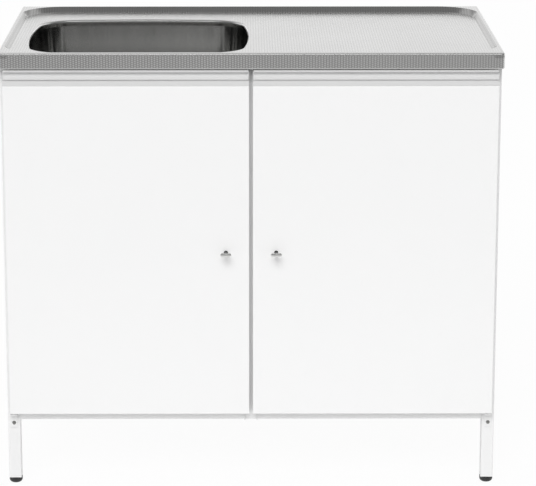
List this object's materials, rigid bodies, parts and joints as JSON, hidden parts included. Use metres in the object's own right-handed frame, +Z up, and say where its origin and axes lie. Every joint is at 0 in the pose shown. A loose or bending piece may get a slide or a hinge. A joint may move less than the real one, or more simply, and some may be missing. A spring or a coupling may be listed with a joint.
{
  "type": "kitchen sink unit",
  "caption": "Stainless sink worktop with a bowl and a drainer on a white square-tube cabinet with hinged doors, wing-knob locks and screw-adjusted feet.",
  "frame": {"origin": "on the floor, at the middle of the unit's bounding box", "axes": "+X to the right seen from the front, +Y to the back wall, +Z up"},
  "size_m": [1, 0.6191, 0.9],
  "materials": {
    "stainless_sheet": "fine linen texture, satin",
    "galvanised_steel": "zinc coated",
    "plated_screw": "bright zinc",
    "polished_stainless": "polished",
    "black_rubber": "matt",
    "clear_rubber": "soft",
    "white_frame_paint": "semi-gloss powder coat",
    "white_door_paint": "semi-gloss powder coat",
    "grip_paint": "semi-gloss powder coat",
    "white_plastic": "matt",
    "lock_chrome": "satin chrome",
    "black_plastic": "matt"
  },
  "bodies": {
    "cabinet": {"worktop": "stainless_sheet", "bowl": "stainless_sheet", "bowl_pad": "black_rubber", "drainer_stiffeners": "galvanised_steel", "centre_post": "white_frame_paint", "floor_pan": "white_frame_paint", "tube_inserts": "white_plastic", "lower_hinge_brackets": "white_frame_paint", "upper_hinge_brackets": "white_frame_paint", "bracket_screws": "plated_screw", "worktop_clips": "galvanised_steel", "strike_plate": "galvanised_steel", "waste_flange": "polished_stainless", "waste_gasket": "black_rubber", "waste_lock_ring": "white_plastic", "tailpiece": "white_plastic", "slip_nuts": "white_plastic", "trap_body": "white_plastic", "trap_cup": "white_plastic", "outlet_pipe": "white_plastic", "top_rail_front": "white_frame_paint", "top_rail_rear": "white_frame_paint", "top_rail_left": "white_frame_paint", "top_rail_right": "white_frame_paint", "bottom_rail_front_left": "white_frame_paint", "bottom_rail_front_right": "white_frame_paint", "bottom_rail_rear": "white_frame_paint", "bottom_rail_left": "white_frame_paint", "bottom_rail_right": "white_frame_paint", "side_panel_left": "white_frame_paint", "side_panel_right": "white_frame_paint", "back_panel": "white_frame_paint", "leg_front_left": "white_frame_paint", "leg_front_right": "white_frame_paint", "leg_rear_left": "white_frame_paint", "leg_rear_right": "white_frame_paint"},
    "left_door": {"left_door_skin": "white_door_paint", "left_door_liner": "white_door_paint", "left_door_grip": "grip_paint", "left_door_bushes": "white_plastic", "left_door_bumpers": "clear_rubber", "left_lock_barrel": "lock_chrome", "left_lock_nut": "lock_chrome"},
    "right_door": {"right_door_skin": "white_door_paint", "right_door_liner": "white_door_paint", "right_door_grip": "grip_paint", "right_door_bushes": "white_plastic", "right_door_bumpers": "clear_rubber", "right_lock_barrel": "lock_chrome", "right_lock_nut": "lock_chrome"},
    "left_lock": {"left_lock_knob": "lock_chrome", "left_lock_tongue": "lock_chrome"},
    "right_lock": {"right_lock_knob": "lock_chrome", "right_lock_tongue": "lock_chrome"},
    "foot_front_left": {"foot_front_left": "black_plastic"},
    "foot_front_right": {"foot_front_right": "black_plastic"},
    "foot_rear_left": {"foot_rear_left": "black_plastic"},
    "foot_rear_right": {"foot_rear_right": "black_plastic"},
    "strainer": {"strainer_basket": "polished_stainless", "strainer_plug": "black_rubber"}
  },
  "joints": [
    {"name": "left_door_hinge", "type": "hinge", "parent": "cabinet", "child": "left_door", "pos_m": [-0.4855, -0.275, 0.5], "axis": [0, 0, -1], "range_deg": [0, 105]},
    {"name": "right_door_hinge", "type": "hinge", "parent": "cabinet", "child": "right_door", "pos_m": [0.4855, -0.275, 0.5], "axis": [0, 0, 1], "range_deg": [0, 105]},
    {"name": "left_lock_turn", "type": "hinge", "parent": "left_door", "child": "left_lock", "pos_m": [-0.0505, -0.28, 0.495], "axis": [0, -1, 0], "range_deg": [0, 90]},
    {"name": "right_lock_turn", "type": "hinge", "parent": "right_door", "child": "right_lock", "pos_m": [0.0505, -0.28, 0.495], "axis": [0, 1, 0], "range_deg": [0, 90]},
    {"name": "foot_front_left_height", "type": "slide", "parent": "cabinet", "child": "foot_front_left", "axis": [0, 0, -1], "range_m": [0, 0.02]},
    {"name": "foot_front_right_height", "type": "slide", "parent": "cabinet", "child": "foot_front_right", "axis": [0, 0, -1], "range_m": [0, 0.02]},
    {"name": "foot_rear_left_height", "type": "slide", "parent": "cabinet", "child": "foot_rear_left", "axis": [0, 0, -1], "range_m": [0, 0.02]},
    {"name": "foot_rear_right_height", "type": "slide", "parent": "cabinet", "child": "foot_rear_right", "axis": [0, 0, -1], "range_m": [0, 0.02]},
    {"name": "strainer_lift", "type": "slide", "parent": "cabinet", "child": "strainer", "axis": [0, 0, 1], "range_m": [0, 0.2]}
  ]
}
